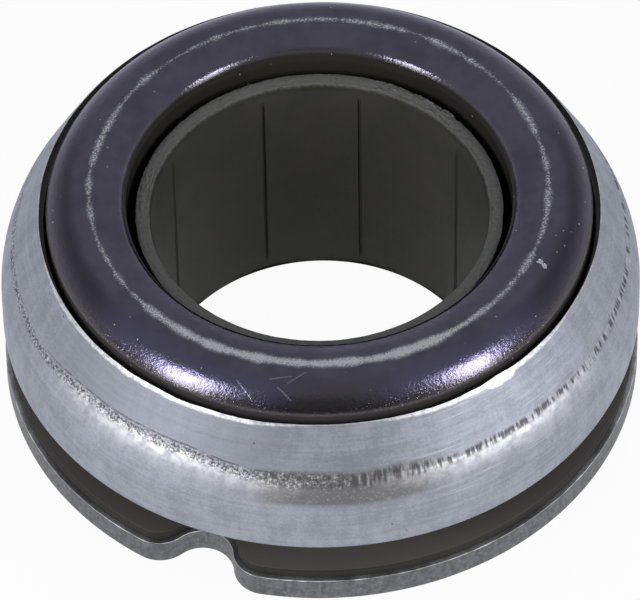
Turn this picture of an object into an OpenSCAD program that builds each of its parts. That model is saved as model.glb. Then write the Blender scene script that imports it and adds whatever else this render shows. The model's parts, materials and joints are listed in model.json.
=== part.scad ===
// Self-centring clutch release bearing on a moulded guide sleeve.
// Millimetres, +Z along the bearing's axis towards the clutch, z = 0 at the sleeve's lower end.

/* [Guide sleeve] */
// Diameter of the bore that slides on the guide tube
bore_d = 36; // [34:0.5:38]
// Wall of the sleeve inside the contact ring
sleeve_wall = 1.65; // [1.3:0.05:2]
// Wall of the thicker hub at the sleeve's foot
hub_wall = 2.6; // [2.3:0.1:2.9]
// Length of the sleeve below the fork plate
tail_h = 6.3; // [4:0.1:9]
// How far the sleeve's upper end lies below the crown
sleeve_drop = 3.56; // [2:0.02:5]
// Chamfer at both ends of the bore
lead_in = 0.5; // [0.3:0.1:0.8]
// Thickness of the moulded flange on the fork plate
flange_t = 1.1; // [0.8:0.1:1.6]
// How far the flange's edge lies inside the plate's edge
flange_inset = 0.5; // [0.3:0.1:1]
// Number of oil grooves along the bore
groove_count = 9; // [6:1:12]
// Width of an oil groove
groove_w = 0.8; // [0.5:0.1:1.2]
// Depth of an oil groove
groove_depth = 0.45; // [0.3:0.05:0.6]
// Angle of the narrow panel between two grooves, on the +Y side
narrow_panel = 33.4; // [28:0.2:40]
// Direction of the narrow panel's middle
narrow_panel_at = 92.3; // [80:0.1:100]
// Plain length of the bore below the grooves
lower_land = 2.4; // [1:0.1:4]
// Plain length of the bore above the grooves
upper_land = 2.2; // [1:0.1:4]
// Number of snap lugs that hold the plate from below
lug_count = 4; // [3:1:6]
// How far a lug stands out of the hub
lug_out = 1.3; // [0.8:0.1:2]
// Depth of the plate's recess in which the lugs sit
lug_seat = 1.5; // [1.2:0.1:2]
// Width of a lug around the hub, in degrees
lug_angle = 24; // [12:1:40]

/* [Fork plate] */
// Diameter of the pressed fork plate
plate_d = 69; // [66:0.5:72]
// Thickness of the fork plate
plate_t = 3.1; // [2.5:0.1:4]
// Depth of the notch in the plate's edge
notch_depth = 4.4; // [4:0.1:5]
// Radius of the notch's root
notch_r = 3.42; // [3:0.02:3.8]
// Radius of the notch's rounded corners
corner_r = 3.5; // [3:0.1:4]
// Direction of the notch
notch_at = -113.1; // [-180:0.1:180]
// Broken edge of the plate
plate_edge = 0.25; // [0.1:0.05:0.5]

/* [Rolling elements] */
// Diameter of a ball
ball_d = 7.144; // [6.75:0.001:7.4]
// Number of balls
ball_count = 15; // [12:1:16]
// Height of the balls' centres above the outer race's foot
ball_height = 14.7; // [14:0.1:16]
// How far the cage's prongs reach beyond the pitch circle
prong_out = 1.1; // [0.8:0.1:1.5]
// Height of the cage's prongs above the balls' centres
prong_h = 1.4; // [1:0.1:1.8]

/* [Races] */
// Wall of the contact ring's tail
ring_wall = 2.5; // [2.3:0.1:2.8]
// Depth of the raceway in that wall
groove_bite = 0.22; // [0.15:0.01:0.4]
// Length of the contact ring below the balls' centres
ring_tail = 7.6; // [7:0.1:8]
// Radius of the crown's section on its outer side
crown_r = 4.76; // [4.6:0.02:5]
// Radius of the flatter section on the crown's inner side
face_r = 8.6; // [8:0.1:9.5]
// Rounding of the crown's inner edge
inner_round = 1.6; // [1.4:0.1:1.9]
// Height of the crown above the balls' centres
crown_rise = 8.06; // [7.8:0.02:8.6]
// How far the contact ring's rim reaches beyond the pitch circle
rim_out = 2.7; // [2.4:0.1:2.8]
// Wall of the outer race behind its groove
race_wall = 3.16; // [2.9:0.02:3.5]
// How far the outer race's top lies below the balls' centres
race_under = 0.3; // [0.1:0.1:0.6]
// Height of the outer race's cylindrical seat below the casing's bend
race_seat = 0.9; // [0.6:0.1:1.6]
// How far the outer race's skirt reaches beyond the pitch circle
skirt_out = 3.15; // [2.9:0.05:3.4]
// Thickness of the skirt and of the foot flange
skirt_t = 2.25; // [2:0.05:2.5]
// Inner radius of the bend between the skirt and the foot flange
foot_bend = 0.5; // [0.3:0.1:0.8]

/* [Casing] */
// Thickness of the drawn casing
casing_t = 1; // [0.8:0.1:1.2]
// Height of the casing's lower edge above the sleeve's flange
casing_lift = 4.54; // [3:0.02:6]
// Start of the shoulder's bend, below the balls' centres
bend_drop = 6.45; // [6:0.05:6.6]
// Outer radius of the shoulder's bend
bend_r = 12; // [10:0.5:14]
// Lean of the shoulder above the bend, from upright
shoulder_lean = 28.4; // [27:0.2:30]
// Broken edge of the crimped lip
lip_edge = 0.15; // [0.1:0.05:0.3]
// Rounding of the lower edge
edge_round = 0.4; // [0.2:0.05:0.45]

/* [Seals and spring] */
// Height of the top seal's lip inside the casing's lip
seal_lip_h = 0.9; // [0.6:0.1:1.2]
// Thickness of the top seal where it sits on the outer race
seal_wall = 1.05; // [0.8:0.05:1.2]
// Thickness of the lower seal
lower_seal_t = 1.1; // [0.8:0.1:1.3]
// Thickness of the retaining ring
clip_t = 1.2; // [1:0.1:1.3]
// How far the retaining ring stands out of the hub
clip_out = 2.6; // [2:0.1:3]
// Depth of the retaining ring's groove in the hub
clip_bite = 0.7; // [0.5:0.05:0.9]
// Opening of the retaining ring, in degrees
clip_gap_angle = 28; // [15:1:45]
// Height of the hub above the retaining ring
clip_collar = 0.9; // [0.6:0.1:1.1]
// Thickness of the wave washer's strip
washer_t = 0.6; // [0.4:0.05:0.8]
// Number of waves
wave_count = 3; // [3:1:5]

/* [Clearances] */
// Radial gap between the sleeve and the contact ring, in which the bearing centres itself
centring_gap = 0.95; // [0.85:0.05:1.3]
// Gap between a ball and its raceways or pocket
race_gap = 0.15; // [0.13:0.01:0.2]
// Gap between the contact ring and each seal's lip
seal_gap = 0.25; // [0.2:0.01:0.35]
// Gap between the contact ring's rim and the casing's lip
lip_gap = 0.8; // [0.7:0.05:1]
// Gap between pieces that turn past each other
turn_gap = 0.3; // [0.25:0.05:0.5]
// Axial gap between the hub and the contact ring
hub_gap = 0.6; // [0.4:0.1:0.9]
// Gap between the wave washer and the hub or the skirt, for the sideways travel
washer_gap = 0.8; // [0.75:0.05:1]
// Gap between the hub and the outer race's foot flange, for the sideways travel
foot_gap = 1.4; // [1.1:0.1:2]
// Gap between the contact ring's tail and the cage
cage_gap = 0.4; // [0.3:0.05:0.5]
// Gap around the lugs in the plate's recess
lug_gap = 0.25; // [0.15:0.05:0.5]
// Gap at pressed and resting seats
seat_gap = 0.02; // [0.01:0.01:0.04]
// Gap between the sleeve and the pieces it carries
carry_gap = 0.05; // [0.03:0.01:0.1]

/* [Hidden] */
$fn = 128;
overrun = 1;
ball_names = [for (i = [1:ball_count]) str("ball_", i)];

// Radii, from the bore outwards
bore_r = bore_d / 2;
sleeve_r = bore_r + sleeve_wall;
hub_r = bore_r + hub_wall;
ball_r = ball_d / 2;
race_groove_r = ball_r + race_gap;
ring_bore_r = sleeve_r + centring_gap;
ring_tail_r = ring_bore_r + ring_wall;
pitch_r = ring_tail_r - groove_bite + race_groove_r;
rim_r = pitch_r + rim_out;
lip_r = rim_r + lip_gap;
race_r = pitch_r + race_groove_r + race_wall;
casing_r = race_r + seat_gap + casing_t;
skirt_r = pitch_r + skirt_out;
skirt_in_r = skirt_r - skirt_t;
foot_r = hub_r + foot_gap;
crown_mid_r = (ring_bore_r + rim_r) / 2;
plate_r = plate_d / 2;

// Heights, from the sleeve's lower end upwards
plate_z = tail_h;
flange_z = plate_z + plate_t;
race_z = flange_z + flange_t;
ball_z = race_z + ball_height;
crown_z = ball_z + crown_rise;
sleeve_top = crown_z - sleeve_drop;
ring_z = ball_z - ring_tail;
hub_top = ring_z - hub_gap;
clip_z = hub_top - clip_collar - clip_t;
lower_seal_z = ring_z + turn_gap;
cage_z = lower_seal_z + lower_seal_t + turn_gap;
casing_z = race_z + casing_lift;
bend_z = ball_z - bend_drop;
race_top = ball_z - race_under;

// The shoulder's cone: its outer and inner faces as heights over a radius
cone_r = casing_r - bend_r * (1 - cos(shoulder_lean));
cone_z = bend_z + bend_r * sin(shoulder_lean);
function cone_out(r) = cone_z + (cone_r - r) / tan(shoulder_lean);
function cone_in(r) = cone_out(r) - casing_t / sin(shoulder_lean);
function cone_in_r(z) = lip_r + (cone_in(lip_r) - z) * tan(shoulder_lean);

function polar(r, a) = [r * cos(a), r * sin(a)];
function arc(centre, r, from, to, steps = 8) =
    [for (i = [0:steps]) centre + polar(r, from + (to - from) * i / steps)];
function after(points) = [for (i = [1:len(points) - 1]) points[i]];
function ball_angle(i) = 360 * (i - 1) / ball_count;

// Outline of the notch's cut along +X: two rounded corners and a round root.
function notch_outline(edge_r, root_r, round_r, root_x) =
    let (
        corner_x = edge_r - round_r,
        spread = acos((root_x ^ 2 + corner_x ^ 2 - (root_r + round_r) ^ 2) / (2 * root_x * corner_x)),
        corner = polar(corner_x, spread),
        meet = atan2(-corner.y, root_x - corner.x),
        start = spread - 8,
        upper = arc(corner, round_r, start, meet),
        root = arc([root_x, 0], root_r, meet + 180, 180 - meet, 16),
        lower = [for (i = [len(upper) - 1:-1:0]) [upper[i].x, -upper[i].y]],
        mouth = upper[0] + [2 * overrun, 0])
    concat([mouth], upper, [for (i = [1:len(root) - 2]) root[i]], lower, [[mouth.x, -mouth.y]]);

// The notch through a plate of this thickness, with its outline moved inwards by the inset
module notch_cut(inset, z, h) {
    root_x = plate_r - notch_depth + notch_r;
    rotate(notch_at)
        translate([0, 0, z - overrun])
            linear_extrude(h + 2 * overrun)
                polygon(notch_outline(plate_r - inset, notch_r + inset, corner_r - inset, root_x));
}

// A pie slice around the axis that spans an angle, for cutting rings
module slice(r, angle, z, h) {
    translate([0, 0, z])
        linear_extrude(h)
            polygon(concat([[0, 0]], arc([0, 0], r, -angle / 2, angle / 2, 4)));
}

module sleeve_tube() {
    rotate_extrude()
        polygon([
            [bore_r - overrun, 0], [hub_r - lead_in, 0], [hub_r, lead_in],
            [hub_r, clip_z - carry_gap], [hub_r - clip_bite, clip_z - carry_gap],
            [hub_r - clip_bite, clip_z + clip_t + carry_gap], [hub_r, clip_z + clip_t + carry_gap],
            [hub_r, hub_top - carry_gap], [sleeve_r, hub_top],
            [sleeve_r, sleeve_top], [bore_r - overrun, sleeve_top]]);
}

module sleeve_flange() {
    difference() {
        translate([0, 0, flange_z])
            cylinder(r = plate_r - flange_inset, h = flange_t);
        notch_cut(flange_inset, flange_z, flange_t);
    }
}

module sleeve_lugs() {
    lug_z = plate_z + carry_gap;
    lug_h = lug_seat - 2 * carry_gap;
    for (i = [0:lug_count - 1])
        rotate(360 * (i + 0.5) / lug_count)
            intersection() {
                rotate_extrude()
                    polygon([
                        [bore_r + lead_in, lug_z], [hub_r, lug_z],
                        [hub_r + lug_out, lug_z + lug_h / 2], [hub_r + lug_out, lug_z + lug_h],
                        [bore_r + lead_in, lug_z + lug_h]]);
                slice(hub_r + lug_out + overrun, lug_angle, lug_z, lug_h);
            }
}

module bore_grooves() {
    wide_panel = (360 - narrow_panel) / (groove_count - 1);
    for (i = [0:groove_count - 1])
        rotate(narrow_panel_at + narrow_panel / 2 + i * wide_panel)
            translate([0, -groove_w / 2, lower_land])
                cube([bore_r + groove_depth, groove_w, sleeve_top - upper_land - lower_land]);
}

module guide_sleeve() {
    color("#2b2a27")
        difference() {
            union() {
                sleeve_tube();
                sleeve_flange();
                sleeve_lugs();
            }
            translate([0, 0, -overrun])
                cylinder(r = bore_r, h = sleeve_top + 2 * overrun);
            translate([0, 0, -overrun])
                cylinder(r1 = bore_r + lead_in + overrun, r2 = bore_r - overrun, h = lead_in + 2 * overrun);
            translate([0, 0, sleeve_top - lead_in / 2 - overrun])
                cylinder(r1 = bore_r - overrun, r2 = bore_r + lead_in / 2 + overrun, h = lead_in / 2 + 2 * overrun);
            bore_grooves();
        }
}

module fork_plate() {
    hole_r = hub_r + carry_gap;
    recess_r = hub_r + lug_out + lug_gap;
    color("#7d8085")
        difference() {
            rotate_extrude()
                polygon([
                    [hole_r, plate_z + lug_seat], [recess_r, plate_z + lug_seat], [recess_r, plate_z],
                    [plate_r - plate_edge, plate_z], [plate_r, plate_z + plate_edge],
                    [plate_r, flange_z - plate_edge], [plate_r - plate_edge, flange_z], [hole_r, flange_z]]);
            notch_cut(0, plate_z, plate_t);
        }
}

module outer_race() {
    seat_z = bend_z - race_seat;
    shoulder_r = race_r - race_wall / 2;
    shoulder_arc = arc([casing_r - bend_r, bend_z], bend_r - casing_t - seat_gap, 0, shoulder_lean);
    arc_end = shoulder_arc[len(shoulder_arc) - 1];
    top = arc_end + (race_top - arc_end.y) * [-tan(shoulder_lean), 1];
    color("#3b3f52")
        rotate_extrude()
            difference() {
                polygon(concat(
                    [[foot_r, race_z]],
                    arc([skirt_r - skirt_t, race_z + skirt_t], skirt_t, -90, 0),
                    [[skirt_r, seat_z - (shoulder_r - skirt_r)], [shoulder_r, seat_z], [race_r, seat_z]],
                    shoulder_arc,
                    [top, [pitch_r, race_top], [skirt_in_r, ball_z - race_groove_r / 2]],
                    arc([skirt_in_r - foot_bend, race_z + skirt_t + foot_bend], foot_bend, 0, -90),
                    [[foot_r, race_z + skirt_t]]));
                translate([pitch_r, ball_z])
                    circle(r = race_groove_r);
            }
}

module contact_ring() {
    crown_centre = [crown_mid_r, crown_z - crown_r];
    rim_z = crown_centre.y - crown_r / 8;
    rim_angle = acos((rim_r - crown_mid_r) / crown_r);
    face_angle = asin((crown_mid_r - ring_bore_r - inner_round) / (face_r - inner_round));
    face_centre = [crown_mid_r, crown_z - face_r];
    inner_centre = face_centre + polar(face_r - inner_round, 90 + face_angle);
    color("#24233a")
        rotate_extrude()
            difference() {
                polygon(concat(
                    [[ring_bore_r, ring_z], [ring_tail_r, ring_z], [ring_tail_r, ball_z],
                     [pitch_r, ball_z], [pitch_r, rim_z], [rim_r, rim_z]],
                    arc(crown_centre, crown_r, rim_angle, 90, 12),
                    after(arc(face_centre, face_r, 90, 90 + face_angle)),
                    after(arc(inner_centre, inner_round, 90 + face_angle, 180))));
                translate([pitch_r, ball_z])
                    circle(r = race_groove_r);
            }
}

module casing() {
    color("#a4a9b2")
        rotate_extrude()
            polygon(concat(
                arc([casing_r - edge_round, casing_z + edge_round], edge_round, -90, 0, 4),
                arc([casing_r - bend_r, bend_z], bend_r, 0, shoulder_lean),
                [[lip_r + lip_edge, cone_out(lip_r + lip_edge)],
                 [lip_r, cone_out(lip_r + lip_edge)],
                 [lip_r, cone_in(lip_r)]],
                arc([casing_r - bend_r, bend_z], bend_r - casing_t, shoulder_lean, 0),
                [[casing_r - casing_t, casing_z]]));
}

module ball_cage() {
    inner_r = ring_tail_r + cage_gap;
    prong_r = pitch_r + prong_out;
    rim_top = ball_z - race_groove_r;
    color("#6b5b3e")
        difference() {
            rotate_extrude()
                polygon([
                    [inner_r, cage_z], [skirt_in_r - turn_gap, cage_z], [skirt_in_r - turn_gap, rim_top],
                    [prong_r, rim_top + prong_out], [prong_r, ball_z + prong_h],
                    [inner_r + turn_gap, ball_z + prong_h], [inner_r, ball_z + prong_h - turn_gap]]);
            for (i = [1:ball_count])
                rotate(ball_angle(i))
                    translate([pitch_r, 0, ball_z])
                        sphere(r = race_groove_r);
        }
}

module ball(i) {
    color("#c9ccd2")
        rotate(ball_angle(i))
            translate([pitch_r, 0, ball_z])
                sphere(d = ball_d);
}

module top_seal() {
    seat_z = race_top + seat_gap;
    lip_z = cone_in(lip_r);
    lip_in = rim_r + seal_gap;
    lip_out = lip_r - carry_gap;
    foot_r = cone_in_r(seat_z) - carry_gap * 2;
    color("#1b1b1d")
        rotate_extrude()
            polygon([
                [lip_in, lip_z], [lip_in, lip_z + seal_lip_h], [lip_out, lip_z + seal_lip_h],
                [lip_out, lip_z - carry_gap], [foot_r, seat_z],
                [foot_r - seal_wall, seat_z], [foot_r - seal_wall, seat_z + seal_wall],
                [lip_out, lip_z - seal_wall / 2]]);
}

module lower_seal() {
    color("#1b1b1d")
        translate([0, 0, lower_seal_z])
            difference() {
                cylinder(r = skirt_in_r - seat_gap, h = lower_seal_t);
                translate([0, 0, -overrun])
                    cylinder(r = ring_tail_r + seal_gap, h = lower_seal_t + 2 * overrun);
            }
}

// Wavy strip: its middle height goes up and down wave_count times around the axis.
module wave_washer() {
    segments = 72;
    inner_r = hub_r + washer_gap;
    low_z = race_z + skirt_t + carry_gap;
    high_z = clip_z - carry_gap;
    amplitude = (high_z - low_z - washer_t) / 2;
    outer_r = skirt_in_r - foot_bend - washer_gap;
    radii = [inner_r, outer_r, outer_r, inner_r];
    lifts = [0, 0, washer_t, washer_t];
    points = [
        for (i = [0:segments - 1], k = [0:3])
            let (a = 360 * i / segments)
                [radii[k] * cos(a), radii[k] * sin(a),
                 low_z + amplitude * (1 + cos(wave_count * a)) + lifts[k]]];
    sides = [
        for (i = [0:segments - 1], k = [0:3])
            let (j = (i + 1) % segments, m = (k + 1) % 4)
                [4 * i + k, 4 * i + m, 4 * j + m, 4 * j + k]];
    color("#8a8f96")
        polyhedron(points = points, faces = sides, convexity = 4);
}

module retaining_ring() {
    clip_in_r = hub_r - clip_bite + carry_gap;
    color("#70757d")
        difference() {
            translate([0, 0, clip_z])
                cylinder(r = hub_r + clip_out, h = clip_t);
            translate([0, 0, clip_z - overrun])
                cylinder(r = clip_in_r, h = clip_t + 2 * overrun);
            slice(hub_r + clip_out + 2 * overrun, clip_gap_angle, clip_z - overrun, clip_t + 2 * overrun);
        }
}

guide_sleeve();
fork_plate();
outer_race();
contact_ring();
casing();
ball_cage();
top_seal();
lower_seal();
wave_washer();
retaining_ring();
for (i = [1:ball_count])
    ball(i);
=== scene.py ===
"""Looks of a self-centring clutch release bearing: its turned, drawn, pressed and moulded skins.

Every skin is worked out with numpy as a section carried around the bearing's axis. Sizes are in
millimetres and are turned into metres where a mesh is made.
"""
import json
import math

import bpy
import numpy as np
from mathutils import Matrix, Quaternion, Vector


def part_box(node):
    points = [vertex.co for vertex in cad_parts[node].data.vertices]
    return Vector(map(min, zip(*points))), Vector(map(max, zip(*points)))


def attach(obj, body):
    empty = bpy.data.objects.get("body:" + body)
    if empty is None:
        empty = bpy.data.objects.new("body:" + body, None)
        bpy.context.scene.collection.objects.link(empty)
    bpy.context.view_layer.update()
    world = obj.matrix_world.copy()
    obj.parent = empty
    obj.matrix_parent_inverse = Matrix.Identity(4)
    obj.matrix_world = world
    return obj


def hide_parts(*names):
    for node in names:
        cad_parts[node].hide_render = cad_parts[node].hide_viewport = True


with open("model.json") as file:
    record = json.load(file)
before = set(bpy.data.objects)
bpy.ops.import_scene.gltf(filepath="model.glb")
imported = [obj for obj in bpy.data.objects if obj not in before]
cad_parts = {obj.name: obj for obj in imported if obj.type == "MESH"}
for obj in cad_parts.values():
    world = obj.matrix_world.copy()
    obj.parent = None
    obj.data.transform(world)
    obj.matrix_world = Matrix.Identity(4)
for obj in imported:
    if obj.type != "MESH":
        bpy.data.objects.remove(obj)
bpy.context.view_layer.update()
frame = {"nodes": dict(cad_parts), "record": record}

MM = 0.001


def reach(node):
    """Outer radius, lowest and highest point of a solid, in millimetres."""
    low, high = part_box(node)
    return max(high.x, -low.x) / MM, low.z / MM, high.z / MM


mounts = {mount["name"]: mount for mount in frame["record"]["mounts"]}

# Sizes read from the frame
BORE_R = mounts["guide_bore"]["dims"]["r_mm"]
PLATE_R, PLATE_Z, FLANGE_Z = reach("fork_plate")
CASING_R, CASING_Z = reach("casing")[:2]
RIM_R, RING_Z, CROWN_Z = reach("contact_ring")
SLEEVE_TOP = reach("guide_sleeve")[2]
CLIP_Z, CLIP_TOP = reach("retaining_ring")[1:]
FLANGE_TOP = reach("outer_race")[1]
BALL_R = (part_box("ball_1")[1].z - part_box("ball_1")[0].z) / MM / 2
BALL_Z = (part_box("ball_1")[1].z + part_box("ball_1")[0].z) / MM / 2
PITCH_R = (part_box("ball_1")[1].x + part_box("ball_1")[0].x) / MM / 2

# Guide sleeve
SLEEVE_R = BORE_R + 1.65
HUB_R = BORE_R + 2.6
HUB_TOP = RING_Z - 0.6
LEAD_IN = 0.5
CARRY_GAP = 0.05
CLIP_BITE = 0.7
FLANGE_INSET = 0.5
GROOVE_COUNT = 9
GROOVE_W = 0.8
GROOVE_DEPTH = 0.45
NARROW_PANEL = 33.4
NARROW_PANEL_AT = 92.3
LOWER_LAND = 2.4
UPPER_LAND = 2.2
LUG_COUNT = 4
LUG_OUT = 1.3
LUG_SEAT = 1.5
LUG_ANGLE = 24
LUG_GAP = 0.25
TORN_FROM, TORN_TO = 36, 70
FRAYED_FROM, FRAYED_TO = 158, 176
FLANGE_BEVEL = 0.15
COLLAR_H = 1.2
MOUTH_OPEN = 0.32
SLEEVE_COLUMNS = 850

# Fork plate
NOTCH_DEPTH = 4.4
NOTCH_R = 3.42
CORNER_R = 3.5
NOTCH_AT = -113.1
PLATE_ROLL = 0.3
BURR_W = 0.3
BURR_H = 0.03
PLATE_COLUMNS = 1440

# Contact ring
RING_BORE_R = SLEEVE_R + 0.95
RING_TAIL_R = RING_BORE_R + 2.5
RACE_GROOVE_R = BALL_R + 0.15
CROWN_R = 4.76
CROWN_MID_R = (RING_BORE_R + RIM_R) / 2
CROWN_MID_Z = CROWN_Z - CROWN_R
FACE_R = 8.6
INNER_ROUND = 1.6
WEAR_R = 24.45
WEAR_WANDER = 0.6
RIM_EASE = 0.1
RING_COLUMNS = 720
SKIN_RIM_R = RIM_R - RIM_EASE
RIM_EDGE_Z = CROWN_MID_Z + math.sqrt(CROWN_R ** 2 - (RIM_R - CROWN_MID_R) ** 2)
CHIP_AT = (23.17, -10.93), (23.55, -11.41)
SCRATCHES = (
    ((-8.89, -25.93), (-7.33, -27.72)),
    ((-3.57, -26.68), (-1.72, -25.58)),
    ((-5.47, -26.14), (-3.16, -25.98)),
    ((-4.68, -26.97), (-3.35, -28.11)))

# Casing
CASING_T = 1.0
EDGE_ROUND = 0.15
BEND_R = 12
BEND_Z = BALL_Z - 6.45
LEAN = 28.4
LIP_R = RIM_R + 0.7
CONE_R = CASING_R - BEND_R * (1 - math.cos(math.radians(LEAN)))
CONE_Z = BEND_Z + BEND_R * math.sin(math.radians(LEAN))
LIP_ROUND = 0.14
CHAMFER_LEFT = -161, -99
CHAMFER_RIGHT = -75, -35
NICK_AT = -52
LINE_LIFT = 0.7
LINE_LIFT_AT = -127
CASING_COLUMNS = 720
EDGE_STEPS = 6
SHOULDER_STEPS = 40

# Camera, fitted to the photograph, and studio
CAMERA_DISTANCE = 0.71
CAMERA_ELEVATION = 49.95
CAMERA_ROLL = -0.97
CAMERA_LENS = 364.6
CAMERA_AIM = Vector((-0.0001, 0, 0.0148))
SOFTBOX_DISTANCE = 0.55
SOFTBOX_HEIGHT = 0.34
FLOOR_HALF = 0.4
WHITE_SHARE = 0.95


# Sections and skins


def straight(start, end, steps):
    """Points from start towards end in equal steps; the end belongs to the next stretch."""
    share = np.arange(steps)[:, None] / steps
    return np.asarray(start) * (1 - share) + np.asarray(end) * share


def bow(centre, radius, start, end, steps):
    """Points on an arc between two angles in degrees; the end belongs to the next stretch."""
    angle = np.radians(start + (end - start) * np.arange(steps) / steps)
    return np.stack([centre[0] + radius * np.cos(angle), centre[1] + radius * np.sin(angle)], 1)


def turned(points, angle):
    """Radius and height of section points, the same at every angle around the axis."""
    shape = (len(points), len(angle))
    return np.broadcast_to(points[:, :1], shape), np.broadcast_to(points[:, 1:], shape)


def stacked(*stretches):
    """One closed section grid from stretches of (radius, height) rows."""
    radius = np.concatenate([stretch[0] for stretch in stretches])
    height = np.concatenate([stretch[1] for stretch in stretches])
    return radius, height


def around(steps):
    """Angles of the columns around the axis, in radians."""
    return np.arange(steps) * 2 * np.pi / steps


def ripple(angle, seed, low, high, fall=0.5):
    """Endless ripple around the axis, about -1 to 1: cosines of low to high waves with seeded phases,
    each weaker than the last by the power fall."""
    draw = np.random.default_rng(seed)
    waves = np.arange(low, high + 1)[:, None]
    phase = draw.uniform(0, 2 * np.pi, waves.shape)
    strength = waves.astype(float) ** -fall
    total = (strength * np.cos(waves * angle + phase)).sum(0)
    return total / (2 * np.sqrt((strength ** 2).sum() / 2))


def step(value, low, high):
    """Smooth step from 0 at low to 1 at high."""
    share = np.clip((value - low) / (high - low), 0, 1)
    return share * share * (3 - 2 * share)


def window(angle, start, end, soft):
    """1 between two directions in degrees and 0 outside, with soft borders."""
    middle, half = math.radians((start + end) / 2), math.radians((end - start) / 2)
    away = np.abs((angle - middle + np.pi) % (2 * np.pi) - np.pi)
    return 1 - step(away, half - math.radians(soft), half + math.radians(soft))


def skin(name, radius, height, angle, sharp=40):
    """Closed skin over a grid: row i, column j lies at radius[i, j] and height[i, j] in the direction
    angle[j]. The rows go once around the section, the columns once around the axis, and both close."""
    points = np.stack([radius * np.cos(angle), radius * np.sin(angle), height], -1) * MM
    here = np.arange(radius.size).reshape(radius.shape)
    beside = np.roll(here, -1, 1)
    quads = np.stack([here, beside, np.roll(beside, -1, 0), np.roll(here, -1, 0)], -1).reshape(-1, 4)
    mesh = bpy.data.meshes.new(name)
    mesh.vertices.add(radius.size)
    mesh.vertices.foreach_set("co", points.ravel())
    mesh.loops.add(quads.size)
    mesh.loops.foreach_set("vertex_index", quads.ravel())
    mesh.polygons.add(len(quads))
    mesh.polygons.foreach_set("loop_start", np.arange(len(quads)) * 4)
    mesh.update(calc_edges=True)
    mesh.shade_smooth()
    mesh.set_sharp_from_angle(angle=math.radians(sharp))
    piece = bpy.data.objects.new(name, mesh)
    bpy.context.scene.collection.objects.link(piece)
    return piece


def dress(piece, finish, body, node):
    """Gives a skin its material and lets it stand for a solid on that body."""
    piece.data.materials.append(finish)
    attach(piece, body)
    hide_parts(node)


# Shader nodes


class Wire:
    """A socket that takes part in sums: each operation on it adds one Math node."""

    def __init__(self, tree, socket):
        self.tree = tree
        self.socket = socket

    def math(self, operation, *values):
        return self.tree.node("ShaderNodeMath", {"operation": operation}, values)

    def __add__(self, other):
        return self.math("ADD", self, other)

    def __sub__(self, other):
        return self.math("SUBTRACT", self, other)

    def __rsub__(self, other):
        return self.math("SUBTRACT", other, self)

    def __mul__(self, other):
        return self.math("MULTIPLY", self, other)

    def __truediv__(self, other):
        return self.math("DIVIDE", self, other)

    def __rtruediv__(self, other):
        return self.math("DIVIDE", other, self)

    def __pow__(self, power):
        return self.math("POWER", self, power)

    def __abs__(self):
        return self.math("ABSOLUTE", self)

    __radd__ = __add__
    __rmul__ = __mul__


class Tree:
    """A node tree that is filled by one method."""

    def __init__(self, nodes):
        self.nodes = nodes
        nodes.nodes.clear()

    def node(self, kind, settings=None, inputs=None, out=0):
        """Adds a node: first its settings, then the values or links of its sockets by name or number."""
        made = self.nodes.nodes.new(kind)
        for key, value in (settings or {}).items():
            setattr(made, key, value)
        pairs = inputs.items() if isinstance(inputs, dict) else enumerate(inputs or ())
        for key, value in pairs:
            if isinstance(value, Wire):
                self.nodes.links.new(value.socket, made.inputs[key])
            else:
                made.inputs[key].default_value = value
        return Wire(self, made.outputs[out]) if len(made.outputs) else None

    def rise(self, value, low, high):
        """0 below low and 1 above high, smooth between; the other way round where low is above high."""
        limits = {"Value": value, "From Min": low, "From Max": high}
        return self.node("ShaderNodeMapRange", {"interpolation_type": "SMOOTHSTEP"}, limits)

    def mix(self, share, first, second):
        """Colour that goes from first to second as share goes from 0 to 1."""
        return self.node("ShaderNodeMix", {"data_type": "RGBA"}, {0: share, 6: first, 7: second}, 2)


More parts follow.
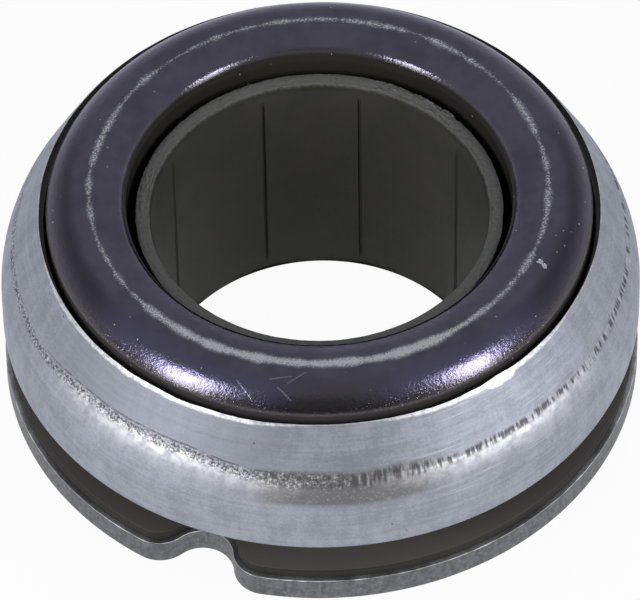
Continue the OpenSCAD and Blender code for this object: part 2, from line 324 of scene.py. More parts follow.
class Finish(Tree):
    """A material that knows the place on its piece in millimetres, and the distance from the axis."""

    def __init__(self, name):
        self.material = bpy.data.materials.new(name)
        self.material.use_nodes = True
        super().__init__(self.material.node_tree)
        place = self.node("ShaderNodeTexCoord", out=3)
        self.point = self.node("ShaderNodeVectorMath", {"operation": "SCALE"}, {0: place, "Scale": 1 / MM})
        self.x, self.y, self.z = [self.node("ShaderNodeSeparateXYZ", {}, [self.point], k) for k in range(3)]
        self.r = (self.x * self.x + self.y * self.y) ** 0.5

    def along(self, turns, lift):
        """Place for marks that run around the axis: the direction on a circle of radius turns, and lift."""
        parts = [self.x / self.r * turns, self.y / self.r * turns, lift]
        return self.node("ShaderNodeCombineXYZ", {}, parts)

    def cloud(self, place, scale, detail=2.0, rough=0.5):
        """Noise from 0 to 1 with about scale cells to the millimetre."""
        inputs = {"Vector": place, "Scale": scale, "Detail": detail, "Roughness": rough}
        return self.node("ShaderNodeTexNoise", {}, inputs)

    def arc(self, middle, full, fade):
        """1 within full degrees of a direction around the axis, falling to 0 at fade degrees from it."""
        a = math.radians(middle)
        toward = (self.x * math.cos(a) + self.y * math.sin(a)) / self.r
        return self.rise(toward, math.cos(math.radians(fade)), math.cos(math.radians(full)))

    def scratch(self, start, end, width):
        """Thin straight mark between two places in plan: 1 on the line, 0 at that width from it."""
        length = math.dist(start, end)
        lean_x, lean_y = (end[0] - start[0]) / length, (end[1] - start[1]) / length
        x, y = self.x - start[0], self.y - start[1]
        ahead = self.node("ShaderNodeClamp", {}, [x * lean_x + y * lean_y, 0.0, length])
        off = ((x - ahead * lean_x) ** 2 + (y - ahead * lean_y) ** 2) ** 0.5
        return self.rise(off, width, width * 0.3)

    def specks(self, place, scale, size, share):
        """Dots of that size in part of the cells of a random pattern."""
        cell = {"Vector": place, "Scale": scale}
        near = self.node("ShaderNodeTexVoronoi", {}, cell, 0)
        shade = self.node("ShaderNodeTexVoronoi", {}, cell, 1)
        chosen = self.node("ShaderNodeSeparateColor", {}, [shade], 0)
        return self.rise(near, size, size / 2) * self.rise(chosen, 1 - share, 1 - share + 0.02)

    def surface(self, colour, rough, relief, metal=1.0, **constants):
        """Ends the material: relief is a height in millimetres."""
        normal = self.node("ShaderNodeBump", {}, {"Strength": 1.0, "Distance": MM, "Height": relief})
        inputs = {"Base Color": colour, "Roughness": rough, "Metallic": metal, "Normal": normal}
        shader = self.node("ShaderNodeBsdfPrincipled", {}, {**inputs, **constants})
        self.node("ShaderNodeOutputMaterial", {}, [shader])
        return self.material


def tone(red, green, blue):
    """Linear colour of screen values from 0 to 255."""
    screen = np.array([red, green, blue]) / 255
    linear = np.where(screen <= 0.04045, screen / 12.92, ((screen + 0.055) / 1.055) ** 2.4)
    return (*linear.tolist(), 1.0)


# Finishes


def polished_blued_steel():
    """Polished blue-black ring: a violet film, dull towards the rim. On the outer slope the film is lighter
    at the front and back and darker at the sides as painted light and shade, and bluer and lighter on two
    front slopes where the glints fall as painted glint colour. The bore is painted dark and non-metallic as
    shade, and the rim's wall in the gap lighter grey and non-metallic as painted light. A rubbed contact
    circle that is widest at the front, specks with more at the rim under the glints as painted sparkle, a
    few scratches and one chip."""
    f = Finish("polished_blued_steel")
    clouded = f.rise(f.cloud(f.point, 0.35, 4.0, 0.6), 0.3, 0.7)
    film = f.mix(clouded, tone(101, 98, 113), tone(114, 111, 126))
    slope = f.rise(f.r, CROWN_MID_R + 0.8, CROWN_MID_R + 2.4)
    # painted glint colour: the film is bluer and lighter only in the two front arcs where the softbox
    # glints fall
    blue = f.arc(-121, 13, 30) + f.arc(-58, 10, 27)
    # painted light and shade: the outer slope's film is lighter at the front and the back and darker at the
    # sides
    grey = f.mix(f.arc(-90, 12, 24), tone(77, 74, 81), tone(97, 94, 98))
    grey = f.mix(f.rise(f.y, 4.0, 16.0), grey, tone(106, 103, 115))
    film = f.mix(slope * 0.85, film, f.mix(blue, grey, tone(107, 103, 130)))
    dull = f.rise(f.r + f.cloud(f.point, 0.7, 3.0) * 0.5, SKIN_RIM_R - 0.35, SKIN_RIM_R)
    # painted shade: the bore is a dark olive and not metallic
    bore_shade = f.rise(f.r, RING_BORE_R + 0.5, RING_BORE_R + 0.1)
    # painted light: the rim's wall, which lies in the gap under the casing's lip, is a lighter grey and not
    # metallic
    painted_recess_tone = f.rise(f.r, SKIN_RIM_R - 0.15, SKIN_RIM_R - 0.03)
    colour = f.mix(dull * 0.85, film, tone(84, 81, 84))
    colour = f.mix(bore_shade, colour, tone(51, 50, 46))
    colour = f.mix(painted_recess_tone, colour, tone(68, 65, 66))

    front = f.arc(-90, 15, 60)
    wander = f.cloud(f.along(2.5, 0.0), 1.0, 3.0)
    patch = f.rise(f.cloud(f.along(6.0, 3.0), 1.0, 4.0, 0.6), 0.35, 0.65)
    grain = f.cloud(f.point, 5.0, 3.0, 0.7)
    off = abs(f.r - (WEAR_R - WEAR_WANDER / 2) - wander * WEAR_WANDER)
    rubbed = f.rise(off, 0.25 + patch * 0.45 + front * 0.35, 0.0)
    speckle = f.rise(grain, 0.38, 0.6)
    sparse = f.rise(grain + rubbed * 0.15, 0.62, 0.72) * f.rise(off, 0.9, 0.3)
    worn = rubbed * (0.08 + patch * 0.42 + front * 0.95) * (0.55 + speckle * 0.7) + sparse * 0.55

    dots = f.specks(f.point, 1.2, 0.13, 0.12)
    # painted sparkle: bright specks at the rim's edge, only in the two arcs under the glints
    glint_sparkle = f.rise(f.r, SKIN_RIM_R - 1.0, SKIN_RIM_R - 0.3) * f.rise(f.z, RIM_EDGE_Z - 0.3, RIM_EDGE_Z)
    glint_sparkle = glint_sparkle * f.rise(grain, 0.6, 0.68) * (f.arc(-122, 10, 35) + f.arc(-60, 10, 35))
    marks = worn + dots * 0.6 + glint_sparkle * 0.42
    for start, end in SCRATCHES:
        marks = marks + f.scratch(start, end, 0.09) * grain * 0.5
    offsets = [((f.x - x) ** 2 + (f.y - y) ** 2) ** 0.5 for x, y in CHIP_AT]
    nearest = offsets[0].math("MINIMUM", *offsets)
    chip = f.rise(nearest + (f.cloud(f.point, 2.5) - 0.5) * 0.7, 0.34, 0.26)
    bare = f.node("ShaderNodeClamp", {}, [marks + chip * 0.9])
    colour = f.mix(bare, colour, tone(236, 236, 242))

    rough = 0.12 + f.cloud(f.point, 0.8, 3.0) * 0.05 + bare * 0.28 + slope * 0.04
    peel = f.cloud(f.point, 3.0, 3.0, 0.6) * 0.035 + f.cloud(f.point, 0.6, 2.0) * 0.03
    metal = f.node("ShaderNodeClamp", {}, [1 - bore_shade - painted_recess_tone])
    edge_tint = {"Specular Tint": (0.65, 0.65, 0.72, 1)}
    return f.surface(colour, rough, peel + bare * 0.01 - chip * 0.06, metal, **edge_tint)


def casing_steel():
    """Bare drawn sheet: satin with faint drawing marks, a rough wandering line at the bend, a bright band
    below it on both front quarters that is burnished and a painted highlight, a scuffed front, a front left
    shoulder painted darker as shade, a bright lip and a blue-grey lower edge at the front that is painted
    shade."""
    f = Finish("casing_steel")
    streaks = f.cloud(f.along(3.0, f.z * 2.2), 1.0, 4.0, 0.6)
    smear = f.cloud(f.point, 0.3, 4.0)
    upright = f.cloud(f.along(26.0, f.z * 0.25), 1.0, 2.0)
    grit = f.cloud(f.point, 3.4, 3.0, 0.7)
    satin = f.rise(streaks * 0.25 + smear * 0.25 + upright * 0.2 + grit * 0.3, 0.4, 0.6)
    steel = f.mix(satin, tone(152, 156, 166), tone(174, 178, 189))

    wander = f.cloud(f.along(5.0, 0.0), 1.0, 3.0)
    drop = f.z - (CONE_Z - 0.45) - wander * 0.8 - f.arc(LINE_LIFT_AT, 8, 24) * LINE_LIFT
    ticks = f.cloud(f.along(80.0, f.z * 0.5), 1.0, 1.0)
    ridged = f.rise(f.x, -4.0, 8.0)
    gnarl = grit * (1 - ridged) + ticks * ridged
    left, right, front = f.arc(-120, 15, 31), f.arc(-55, 12, 28), f.arc(-86, 8, 20)
    width = 0.35 + f.cloud(f.along(7.0, 5.0), 1.0, 2.0) * 0.5 + front * 0.5 + left * 0.2
    line = f.rise(abs(drop), width, width * 0.3)
    pits = line * f.rise(gnarl, 0.53, 0.43) * (1 - front * 0.25)
    chips = line * f.rise(gnarl, 0.55, 0.65) * (1 - ridged * 0.6)
    crease = f.rise(abs(drop - 0.65), 0.1, 0.04) * f.arc(-125, 22, 30) * f.rise(upright, 0.35, 0.5)
    below = f.rise(drop, 0.15, -0.25)
    gleam = f.rise(drop, -2.0, -0.5) * 0.65 + f.rise(drop, -4.5, -0.2) * 0.35
    mottle = f.rise(f.cloud(f.point, 1.1, 4.0, 0.6), 0.35, 0.65)
    # painted highlight: the band is lighter only on the two front quarters where the softboxes reflect; its
    # lower roughness is burnish
    band = below * gleam * (left + right) * (0.05 + upright * 0.35 + mottle * 0.4)
    scuffed = front * f.rise(drop, -3.2, -2.4) * f.rise(drop, 1.2, 0.5)

    nick = f.arc(NICK_AT, 2, 4)
    sides = f.arc(-130, 22, 40) + f.arc(-55, 12, 28)
    ragged = f.cloud(f.along(30.0, 0.0), 1.0, 2.0) * 0.2
    bright = LIP_R + LIP_ROUND + sides * 0.25 + nick * 0.25
    cut = f.rise(f.r + ragged, bright + 0.1, bright - 0.05)
    cut = cut * (0.5 + 0.5 * f.rise(f.cloud(f.point, 1.6, 3.0, 0.65), 0.4, 0.52))
    drawn = f.rise(f.cloud(f.along(5.0, f.z * 5), 1.0, 2.0), 0.62, 0.7)
    stains = f.specks(f.point, 0.7, 0.12, 0.12)
    # painted shade: a blue-grey strip along the casing's lower edge at the front
    edge = f.rise(f.z, CASING_Z + 0.25, CASING_Z + 0.1) * f.arc(-110, 20, 60)

    # painted shade: the front left shoulder is darker where the left softbox's highlight falls
    shoulder_shade = f.arc(-124, 14, 34) * f.rise(drop, 0.2, 0.9)
    colour = f.mix(shoulder_shade * (0.3 + smear * 0.5), steel, tone(138, 141, 150))
    colour = f.mix(scuffed * 0.85, colour, tone(122, 120, 121))
    colour = f.mix(scuffed * f.rise(grit, 0.56, 0.66) * 0.5, colour, tone(186, 184, 184))
    colour = f.mix(drawn * (0.08 + right * 0.4), colour, tone(206, 208, 215))
    colour = f.mix(band, colour, tone(245, 243, 246))
    colour = f.mix(pits * 0.75, colour, tone(66, 63, 60))
    colour = f.mix(crease * 0.6, colour, tone(84, 82, 84))
    colour = f.mix(chips * 0.7, colour, tone(226, 224, 222))
    colour = f.mix(stains * 0.6, colour, tone(84, 82, 82))
    colour = f.mix(edge * 0.85, colour, tone(66, 70, 92))
    colour = f.mix(cut, colour, tone(226, 225, 228))
    rough = 0.56 - band * 0.25 - cut * 0.1 + smear * 0.1
    relief = streaks * 0.002 + upright * 0.002 + grit * 0.003 + cut * grit * 0.03
    edge_tint = {"Specular Tint": (0.75, 0.77, 0.81, 1)}
    return f.surface(colour, rough, relief + line * gnarl * 0.08 - crease * 0.03, 1.0, **edge_tint)


def plate_steel():
    """Blanked plate: dull rolled faces, a mottled rim cut by shearing and a thin bright burr along its top,
    lighter in patches as painted glints.
    """
    f = Finish("plate_steel")
    shear = f.cloud(f.along(70.0, f.z * 0.5), 1.0, 2.0)
    blotch = f.cloud(f.point, 1.5, 4.0, 0.65)
    dull = f.mix(f.rise(shear * 0.3 + blotch * 0.7, 0.38, 0.62), tone(99, 99, 102), tone(122, 123, 128))
    ragged = f.cloud(f.along(24.0, 0.0), 1.0, 4.0)
    burr = f.rise(f.z + ragged * 0.4, FLANGE_Z + 0.05, FLANGE_Z + 0.2)
    scuff = f.rise(f.cloud(f.point, 2.4, 3.0), 0.58, 0.68) * 0.3
    colour = f.mix(scuff, dull, tone(160, 161, 165))
    # painted glints: the burr is lighter in patches along it
    shiny = f.rise(f.cloud(f.along(7.0, 1.0), 1.0, 3.0), 0.38, 0.6)
    colour = f.mix(burr * (0.35 + shiny * 0.6), colour, tone(240, 240, 242))
    rough = 0.46 + blotch * 0.14 - burr * 0.1
    return f.surface(colour, rough, shear * 0.01 + blotch * 0.012)


def black_moulding():
    """Matt glass-filled moulding: olive-black, with fibre flecks, a paler rubbed upper end, a paler flange
    top whose outer rim is painted near black as shade, and the bottoms of the bore's grooves painted darker
    as shade."""
    f = Finish("black_moulding")
    blend = f.cloud(f.point, 0.25, 4.0)
    body = f.mix(f.rise(blend, 0.35, 0.65), tone(48, 48, 40), tone(55, 54, 47))
    torn = f.cloud(f.point, 2.4, 4.0, 0.65)
    rubbed = f.rise(f.z + (torn - 0.5) * 0.7, SLEEVE_TOP - 0.55, SLEEVE_TOP - 0.1)
    flecks = f.specks(f.point, 2.2, 0.16, 0.1)
    colour = f.mix(rubbed * f.rise(torn, 0.1, 0.5), body, tone(106, 106, 104))
    colour = f.mix(flecks * 0.3, colour, tone(104, 102, 97))
    # the flange's upper face is paler than the body
    pale_flange_top = f.rise(abs(f.z - FLANGE_TOP), 0.1, 0.03) * f.rise(f.r, HUB_R + 1, HUB_R + 5)
    colour = f.mix(pale_flange_top * 0.9, colour, tone(97, 95, 91))
    # painted shade: below its upper face the flange's outer part, its bevel and rim, is near black
    shaded_flange_rim = f.rise(f.z, FLANGE_TOP, FLANGE_TOP - 0.02) * f.rise(f.r, HUB_R + 4, HUB_R + 6)
    colour = f.mix(shaded_flange_rim * 0.8, colour, tone(30, 29, 27))
    # painted shade: the bottoms of the bore's grooves are darker
    painted_recess_tone = f.rise(f.r, BORE_R + 0.15, BORE_R + 0.4) * f.rise(f.r, BORE_R + 0.9, BORE_R + 0.6)
    painted_recess_tone = painted_recess_tone * f.rise(f.z, SLEEVE_TOP - 1.2, SLEEVE_TOP - 1.8) * f.rise(f.z, LEAD_IN, LEAD_IN + 0.5)
    colour = f.mix(painted_recess_tone * 0.2, colour, tone(24, 24, 21))
    rough = 0.55 + torn * 0.16
    relief = f.cloud(f.point, 3.5, 3.0) * 0.012 + torn * rubbed * 0.08
    return f.surface(colour, rough, relief, 0.0, **{"Specular IOR Level": 0.35})


def turned_finish(name, dark, light, gloss, metal, marks):
    """Plain machined, rolled or moulded piece: fine marks around the axis over two close colours."""
    f = Finish(name)
    lines = f.cloud(f.along(2.0, f.z * marks + f.r * marks), 1.0, 3.0, 0.6)
    blotch = f.cloud(f.point, 0.6, 3.0)
    colour = f.mix(f.rise(lines * 0.5 + blotch * 0.5, 0.36, 0.64), dark, light)
    return f.surface(colour, gloss + blotch * 0.12, lines * 0.004 + blotch * 0.004, metal)


# Pieces


def notched_edge(angle, inset):
    """Edge radius of the plate in each direction: the plate's circle, and near the notch the ray's far
    crossing of a rounded corner or its near crossing of the round root, all moved inwards by inset."""
    edge, root, corner = PLATE_R - inset, NOTCH_R + inset, CORNER_R - inset
    root_x, corner_x = PLATE_R - NOTCH_DEPTH + NOTCH_R, PLATE_R - CORNER_R
    spread = math.acos((root_x ** 2 + corner_x ** 2 - (root + corner) ** 2) / (2 * root_x * corner_x))
    meet_x = root_x + (corner_x * math.cos(spread) - root_x) * root / (root + corner)
    meet_y = corner_x * math.sin(spread) * root / (root + corner)
    away = np.abs((angle - math.radians(NOTCH_AT) + np.pi) % (2 * np.pi) - np.pi)
    on_root = root_x * np.cos(away) - np.sqrt(np.maximum(root ** 2 - (root_x * np.sin(away)) ** 2, 0))
    lean = away - spread
    reach_on = np.sqrt(np.maximum(corner ** 2 - (corner_x * np.sin(lean)) ** 2, 0))
    on_corner = corner_x * np.cos(lean) + reach_on
    near = np.where(away < math.atan2(meet_y, meet_x), on_root, on_corner)
    return np.where(away < spread, near, edge)


def contact_ring():
    """Crowned ring: an outer arc that is slightly narrowed at the worn rim, a flatter inner arc and a
    rounded inner edge over the face, plain walls, and the raceway's arc under the rim."""
    angle = around(RING_COLUMNS)
    edge = math.degrees(math.acos((RIM_R - CROWN_MID_R) / CROWN_R))
    edge_z = CROWN_MID_Z + CROWN_R * math.sin(math.radians(edge))
    rim_z = CROWN_MID_Z - CROWN_R / 8
    inner_r = RING_BORE_R + INNER_ROUND
    fall = math.asin((CROWN_MID_R - inner_r) / (FACE_R - INNER_ROUND))
    inner_z = CROWN_Z - FACE_R + (FACE_R - INNER_ROUND) * math.cos(fall)
    turn = 90 + math.degrees(fall)
    wall = math.degrees(math.asin((PITCH_R - RING_TAIL_R) / RACE_GROOVE_R))
    groove_in = -90 - wall
    groove_out = math.degrees(math.asin((rim_z - BALL_Z) / RACE_GROOVE_R))
    groove_z = BALL_Z + RACE_GROOVE_R * math.sin(math.radians(groove_in))
    groove_end = PITCH_R + RACE_GROOVE_R * math.cos(math.radians(groove_out))
    squeeze = 1 - RIM_EASE / (RIM_R - CROWN_MID_R)
    section = np.vstack([
        straight((RING_BORE_R, RING_Z), (RING_TAIL_R, RING_Z), 4),
        straight((RING_TAIL_R, RING_Z), (RING_TAIL_R, groove_z), 6),
        bow((PITCH_R, BALL_Z), RACE_GROOVE_R, groove_in, groove_out - 360, 18),
        straight((groove_end, rim_z), (SKIN_RIM_R, rim_z), 1),
        straight((SKIN_RIM_R, rim_z), (SKIN_RIM_R, edge_z), 6),
        bow((0, CROWN_MID_Z), CROWN_R, edge, 90, 40) * (squeeze, 1) + (CROWN_MID_R, 0),
        bow((CROWN_MID_R, CROWN_Z - FACE_R), FACE_R, 90, turn, 20),
        bow((inner_r, inner_z), INNER_ROUND, turn, 180, 20),
        straight((RING_BORE_R, inner_z), (RING_BORE_R, RING_Z), 16)])
    radius, height = turned(section, angle)
    piece = skin("contact_ring_crown", radius, height, angle)
    dress(piece, polished_blued_steel(), "ring", "contact_ring")


def casing():
    """Drawn casing: wall, bend, leaning shoulder and cut lip, each an arc or a line carried around the
    axis. The lip is rounded by a parabola, a nick and a chamfer on both front sides flatten it, and the
    bend has a wandering crease."""
    angle = around(CASING_COLUMNS)
    lean = math.radians(LEAN)
    centre = (CASING_R - BEND_R, BEND_Z)

    def cone(radius):
        """Height of the shoulder's outer face over a radius."""
        return CONE_Z + (CONE_R - radius) / math.tan(lean)

    nick = window(angle, NICK_AT - 2.5, NICK_AT + 2, 2)
    sides = window(angle, *CHAMFER_LEFT, 9) + window(angle, *CHAMFER_RIGHT, 8)
    side_cut = sides * (0.25 + 0.06 * ripple(angle, 2, 5, 90, 0.3))
    nick_cut = nick * (0.2 + 0.08 * ripple(angle, 4, 12, 60, 0.3))
    lip_out = LIP_R + (LIP_ROUND + 0.04 * ripple(angle, 3, 3, 60) + side_cut + nick_cut)
    nick_lip = 0.12 * nick * (1 + 0.5 * ripple(angle, 6, 20, 60, 0.3))
    lip_in = LIP_R + 0.03 * ripple(angle, 5, 2, 40) - nick_lip

    lower = np.vstack([
        bow((CASING_R - EDGE_ROUND, CASING_Z + EDGE_ROUND), EDGE_ROUND, -90, 0, EDGE_STEPS),
        straight((CASING_R, CASING_Z + EDGE_ROUND), (CASING_R, BEND_Z), 10),
        bow(centre, BEND_R, 0, LEAN, 40)])
    share = np.linspace(0, 1, SHOULDER_STEPS)[:, None]
    shoulder_r = CONE_R + (lip_out - CONE_R) * share
    shoulder = shoulder_r, cone(shoulder_r)
    rounding = np.linspace(0.1, 1, 10)[:, None]
    flat = np.maximum(nick, sides)
    lift = (lip_out - lip_in) / math.tan(lean) * (0.5 + 0.14 * flat)
    rounded = (1 - flat) * (1 - (1 - rounding) ** 2) + flat * rounding
    cut = lip_out + (lip_in - lip_out) * rounding, cone(lip_out) + lift * rounded
    lip_z = cut[1][-1]
    inner_z = cone(LIP_R) - CASING_T / math.sin(lean)
    end_share = np.array([[0.3], [0.7]])
    end = lip_in + (LIP_R - lip_in) * end_share, lip_z + (inner_z - lip_z) * end_share
    bend_end = np.add(centre, (BEND_R - CASING_T) * np.array([math.cos(lean), math.sin(lean)]))
    inside = np.vstack([
        straight((LIP_R, inner_z), bend_end, 6),
        bow(centre, BEND_R - CASING_T, LEAN, 0, 10),
        straight((CASING_R - CASING_T, BEND_Z), (CASING_R - CASING_T, CASING_Z), 6),
        straight((CASING_R - CASING_T, CASING_Z), (CASING_R - EDGE_ROUND, CASING_Z), 3)])
    radius, height = stacked(turned(lower, angle), shoulder, cut, end, turned(inside, angle))

    crease_z = CONE_Z - 0.1 + 0.3 * ripple(angle, 7, 2, 14)
    crease_z = crease_z + LINE_LIFT * window(angle, LINE_LIFT_AT - 16, LINE_LIFT_AT + 16, 8)
    outside = np.zeros((len(radius), 1))
    outside[EDGE_STEPS:len(lower) + SHOULDER_STEPS - 2] = 1
    crease = np.exp(-((height - crease_z) / 0.3) ** 2) * (0.045 + 0.03 * ripple(angle, 8, 40, 180, 0.2))
    waver = np.minimum(0.025 * ripple(angle, 9, 2, 9) - 0.025, 0)
    waved = step(height, CASING_Z, BEND_Z) * waver * (height < CONE_Z + 3)
    radius = radius - outside * crease + outside * waved
    piece = skin("casing_shell", radius, height, angle)
    dress(piece, casing_steel(), "bearing", "casing")


def fork_plate():
    """Blanked plate: a flat ring with a stepped hole, whose edge follows the notch, with a burr on top."""
    angle = around(PLATE_COLUMNS)
    edge = notched_edge(angle, 0)
    hole, recess = HUB_R + CARRY_GAP, HUB_R + LUG_OUT + LUG_GAP
    burr = 0.05 + 0.04 * ripple(angle, 11, 8, 160, 0.3)
    under = turned(np.vstack([
        straight((hole, PLATE_Z + LUG_SEAT), (recess, PLATE_Z + LUG_SEAT), 2),
        straight((recess, PLATE_Z + LUG_SEAT), (recess, PLATE_Z), 3)]), angle)
    share = np.linspace(0, 1, 7)[:, None]
    bottom = recess + (edge - PLATE_ROLL - recess) * share, np.full((7, len(angle)), PLATE_Z)
    bend = np.radians(np.linspace(-75, 0, 6))[:, None]
    rolled = (edge - PLATE_ROLL + PLATE_ROLL * np.cos(bend),
              PLATE_Z + PLATE_ROLL + PLATE_ROLL * np.sin(bend) + 0 * edge)
    rim_share = np.linspace(0.15, 1, 8)[:, None]
    chatter = np.stack([ripple(angle, 20 + k, 30, 200, 0.2) for k in range(8)])
    chatter = np.minimum(0.012 * chatter - 0.012, 0)
    rim_top = FLANGE_Z - 0.06
    rim = edge + chatter, PLATE_Z + PLATE_ROLL + (rim_top - PLATE_Z - PLATE_ROLL) * rim_share + 0 * edge
    crest = (np.stack([edge - 0.02, edge - 0.1, edge - BURR_W]),
             np.stack([FLANGE_Z + 0 * edge, FLANGE_Z + 0.4 * burr, FLANGE_Z + 0 * edge]))
    inward = np.linspace(0.2, 1, 5)[:, None]
    top = edge - BURR_W + (hole - edge + BURR_W) * inward, np.full((5, len(angle)), FLANGE_Z)
    radius, height = stacked(under, bottom, rolled, rim, crest, top)
    piece = skin("fork_plate_blank", radius, np.minimum(height, FLANGE_Z + BURR_H), angle, 30)
    dress(piece, plate_steel(), "sleeve", "fork_plate")


def groove_share(angle):
    """1 in the middle of each oil groove of the bore and 0 beside it."""
    wide = (360 - NARROW_PANEL) / (GROOVE_COUNT - 1)
    at = np.radians(NARROW_PANEL_AT + NARROW_PANEL / 2 + wide * np.arange(GROOVE_COUNT))[:, None]
    off = np.abs((angle - at + np.pi) % (2 * np.pi) - np.pi).min(0) * BORE_R
    return 1 - step(off, 0, GROOVE_W / 2 - 0.05), off


def guide_sleeve():
    """Moulded sleeve: hub, snap lugs, notched flange, clip groove and thin upper wall, carried around the
    axis. The bore's panels open towards the oil grooves, and flash stands on the torn upper end."""
    angle = around(SLEEVE_COLUMNS)
    wide = len(angle)
    edge = notched_edge(angle, FLANGE_INSET)
    lug_z, lug_top = PLATE_Z + CARRY_GAP, PLATE_Z + LUG_SEAT - CARRY_GAP
    lug_mid = (lug_z + lug_top) / 2

    foot = turned(np.vstack([
        straight((BORE_R + LEAD_IN, 0), (HUB_R - LEAD_IN, 0), 3),
        straight((HUB_R - LEAD_IN, 0), (HUB_R, LEAD_IN), 2),
        straight((HUB_R, LEAD_IN), (HUB_R, lug_z), 5)]), angle)
    lug_at = np.radians(360 * (np.arange(LUG_COUNT) + 0.5) / LUG_COUNT)[:, None]
    lug_off = np.abs((angle - lug_at + np.pi) % (2 * np.pi) - np.pi).min(0)
    lug = 1 - step(lug_off, math.radians(LUG_ANGLE / 2 - 0.4), math.radians(LUG_ANGLE / 2 + 0.4))
    lug_r = np.stack([HUB_R + 0 * lug, HUB_R + LUG_OUT * lug, HUB_R + LUG_OUT * lug, HUB_R + 0 * lug])
    lugs = lug_r, np.array([[lug_z], [lug_mid], [lug_top], [lug_top + 0.001]]) + 0 * angle

    under = turned(straight((HUB_R, lug_top + 0.1), (HUB_R, FLANGE_Z), 3), angle)
    out_share = np.linspace(0, 1, 5)[:, None]
    span = edge - HUB_R
    lower_face = HUB_R + span * out_share, np.full((5, wide), FLANGE_Z)
    rim_z = np.array([[FLANGE_Z + 0.1], [FLANGE_TOP - FLANGE_BEVEL], [FLANGE_TOP]])
    rim = np.stack([edge, edge, edge - FLANGE_BEVEL]), rim_z + 0 * angle
    in_share = np.linspace(0.1, 1, 8)[:, None]
    upper_face = edge - FLANGE_BEVEL - (span - FLANGE_BEVEL) * in_share, np.full((8, wide), FLANGE_TOP)

    neck_r = HUB_R - CLIP_BITE
    hub = turned(np.vstack([
        straight((HUB_R, FLANGE_TOP + 0.2), (HUB_R, CLIP_Z - CARRY_GAP), 4),
        straight((HUB_R, CLIP_Z - CARRY_GAP), (neck_r, CLIP_Z - CARRY_GAP), 2),
        straight((neck_r, CLIP_Z - CARRY_GAP), (neck_r, CLIP_TOP + CARRY_GAP), 3),
        straight((neck_r, CLIP_TOP + CARRY_GAP), (HUB_R, CLIP_TOP + CARRY_GAP), 2),
        straight((HUB_R, CLIP_TOP + CARRY_GAP), (HUB_R, HUB_TOP - CARRY_GAP), 2),
        straight((HUB_R, HUB_TOP - CARRY_GAP), (SLEEVE_R, HUB_TOP), 2),
        straight((SLEEVE_R, HUB_TOP), (SLEEVE_R, SLEEVE_TOP - COLLAR_H), 6)]), angle)

    torn = window(angle, TORN_FROM, TORN_TO, 5) + 0.6 * window(angle, FRAYED_FROM, FRAYED_TO, 5)
    rag = 0.05 + 0.12 * torn
    frayed = np.linspace(0, 1, 6)[:, None]
    rags = np.stack([ripple(angle, 40 + k, 12, 260, 0.45) for k in range(6)])
    collar = (SLEEVE_R + rag * 0.7 * rags * frayed,
              SLEEVE_TOP - COLLAR_H + 1.14 * frayed + rag * np.roll(rags, 1, 0) * frayed * 0.5)
    inner_top = BORE_R + MOUTH_OPEN
    across = np.linspace(0.04, 1, 9)[:, None]
    humps = np.stack([ripple(angle, 50 + k, 10, 240, 0.5) for k in range(9)])
    crown = np.sin(np.pi * np.minimum(across * 1.3, 1))
    end_r = collar[0][-1] + (inner_top - collar[0][-1]) * across
    end_z = SLEEVE_TOP - 0.04 + rag * humps * 0.6 + 0.05 * crown + 0.1 * torn * (1 - across) * np.abs(humps)
    end = end_r, end_z

    groove, off = groove_share(angle)
    panel = 0.16 * (1 - step(off, 0.3, 5.5))
    depth = np.concatenate([np.linspace(0.06, 1.6, 14), np.linspace(1.8, SLEEVE_TOP - 0.6, 30)])[:, None]
    bore_z = SLEEVE_TOP - depth + 0 * angle
    above = step(bore_z, LOWER_LAND - 0.1, LOWER_LAND + 0.1)
    below = step(SLEEVE_TOP - bore_z, UPPER_LAND - 0.1, UPPER_LAND + 0.1)
    cut = above * below
    lead = np.maximum(MOUTH_OPEN - depth * 0.36, 0) + 0.02 * ripple(angle, 61, 6, 60)
    bore_r = BORE_R + np.maximum(np.maximum(panel * step(depth, 0, 2.5), lead), GROOVE_DEPTH * groove * cut)
    bore = np.maximum(bore_r, BORE_R), bore_z
    mouth = turned(straight((BORE_R, LEAD_IN), (BORE_R + LEAD_IN, 0), 3), angle)
    radius, height = stacked(foot, lugs, under, lower_face, rim, upper_face, hub, collar, end, bore, mouth)
    piece = skin("guide_sleeve_moulding", radius, height, angle, 35)
    dress(piece, black_moulding(), "sleeve", "guide_sleeve")


def inner_pieces():
    """Finishes of the solids that keep their own shape."""
    looks = {
        "blued_steel": (tone(66, 67, 82), tone(96, 98, 120), 0.3, 1.0, 4.0),
        "ball_steel": (tone(196, 198, 202), tone(218, 220, 224), 0.08, 1.0, 0.4),
        "cage_polyamide": (tone(118, 98, 66), tone(140, 118, 82), 0.45, 0.0, 1.0),
        # seal_rubber is a lighter grey than black rubber: painted light in the shaded gap between the ring
        # and the casing's lip
        "seal_rubber": (tone(86, 84, 82), tone(100, 98, 94), 0.55, 0.0, 3.0),
        "spring_steel": (tone(124, 128, 136), tone(158, 162, 170), 0.32, 1.0, 5.0)}
    finishes = {name: turned_finish(name, *look) for name, look in looks.items()}
    for part in frame["record"]["subparts"]:
        finish = finishes.get(part["material_slot"])
        if finish:
            for slot in frame["nodes"][part["node"]].material_slots:
                slot.material = finish


# Studio


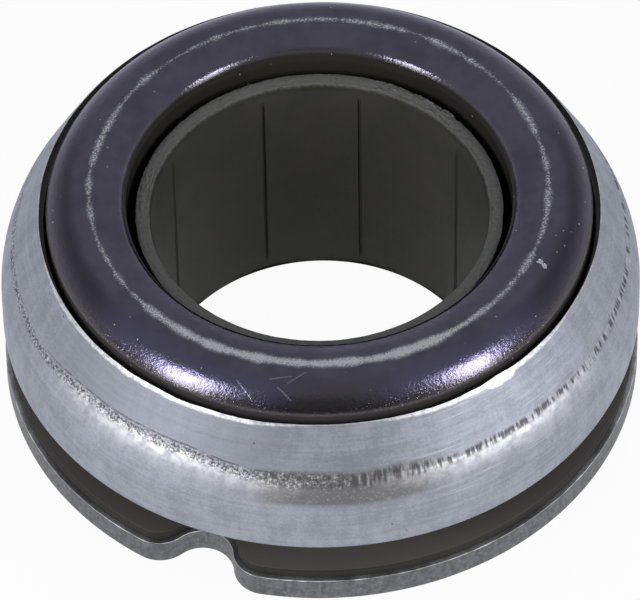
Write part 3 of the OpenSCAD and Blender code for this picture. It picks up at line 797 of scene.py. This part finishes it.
def studio_floor():
    """Pale floor: white to the camera and in reflections, with a share of plain shading for the shadow."""
    half = FLOOR_HALF
    corners = [(-half, -half, 0), (half, -half, 0), (half, half, 0), (-half, half, 0)]
    mesh = bpy.data.meshes.new("studio_floor")
    mesh.from_pydata(corners, [], [(0, 1, 2, 3)])
    floor = bpy.data.objects.new("studio_floor", mesh)
    bpy.context.scene.collection.objects.link(floor)
    material = bpy.data.materials.new("studio_floor")
    material.use_nodes = True
    tree = Tree(material.node_tree)
    camera, glossy, through = [tree.node("ShaderNodeLightPath", {}, {}, name) for name in
                               ("Is Camera Ray", "Is Glossy Ray", "Is Transmission Ray")]
    seen = tree.node("ShaderNodeClamp", {}, [camera + glossy + through])
    plain = tree.node("ShaderNodeBsdfDiffuse", {}, {"Color": (0.9, 0.9, 0.9, 1)})
    white = tree.node("ShaderNodeEmission", {}, {"Color": (1, 1, 1, 1), "Strength": 1.0})
    shader = tree.node("ShaderNodeMixShader", {}, [seen * WHITE_SHARE, plain, white])
    tree.node("ShaderNodeOutputMaterial", {}, [shader])
    mesh.materials.append(material)


def studio_world():
    """Soft surroundings: grey overhead, paler at the far horizon and darker on the camera's side."""
    world = bpy.data.worlds.new("studio")
    bpy.context.scene.world = world
    world.use_nodes = True
    tree = Tree(world.node_tree)
    place = tree.node("ShaderNodeTexCoord", {}, {}, "Generated")
    x, y, z = [tree.node("ShaderNodeSeparateXYZ", {}, [place], k) for k in range(3)]
    back = tree.rise(z, 0.45, 0.0) * tree.rise(y, -0.4, 0.3)
    shade = tree.mix(back, (0.36, 0.365, 0.385, 1), (0.65, 0.655, 0.67, 1))
    front = tree.rise(0 - y - abs(x) * 0.6, 0.35, 0.85) * tree.rise(z, 0.95, 0.6)
    shade = tree.mix(front * 0.85, shade, (0.11, 0.11, 0.11, 1))
    light = tree.node("ShaderNodeBackground", {}, {"Color": shade, "Strength": 1.0})
    tree.node("ShaderNodeOutputWorld", {}, [light])


def softbox(name, azimuth, elevation, width, power):
    """Oblong soft light in that direction from the bearing, turned towards it."""
    lamp = bpy.data.lights.new(name, "AREA")
    lamp.shape = "RECTANGLE"
    lamp.size = width
    lamp.size_y = SOFTBOX_HEIGHT
    lamp.energy = power
    a, e = math.radians(azimuth), math.radians(elevation)
    away = Vector((math.cos(e) * math.cos(a), math.cos(e) * math.sin(a), math.sin(e)))
    light = bpy.data.objects.new(name, lamp)
    light.location = away * SOFTBOX_DISTANCE + Vector((0, 0, BALL_Z * MM))
    light.rotation_euler = (-away).to_track_quat("-Z", "Y").to_euler()
    bpy.context.scene.collection.objects.link(light)


def camera():
    """Long lens at the photograph's height, with its slight roll."""
    e = math.radians(CAMERA_ELEVATION)
    data = bpy.data.cameras.new("camera")
    data.lens = CAMERA_LENS
    data.clip_start = 0.05
    data.clip_end = 20
    view = bpy.data.objects.new("camera", data)
    view.location = Vector((CAMERA_AIM.x, -CAMERA_DISTANCE * math.cos(e),
                            PLATE_Z * MM + CAMERA_DISTANCE * math.sin(e)))
    level = (CAMERA_AIM - view.location).to_track_quat("-Z", "Y")
    view.rotation_mode = "QUATERNION"
    view.rotation_quaternion = level @ Quaternion((0, 0, 1), math.radians(CAMERA_ROLL))
    bpy.context.scene.collection.objects.link(view)
    bpy.context.scene.camera = view


camera()
studio_floor()
studio_world()
softbox("softbox_left", -140, 20, 0.14, 1.48)
softbox("softbox_right", -34, 19, 0.105, 1.3)
contact_ring()
casing()
fork_plate()
guide_sleeve()
inner_pieces()
bpy.context.scene.view_settings.view_transform = "Standard"
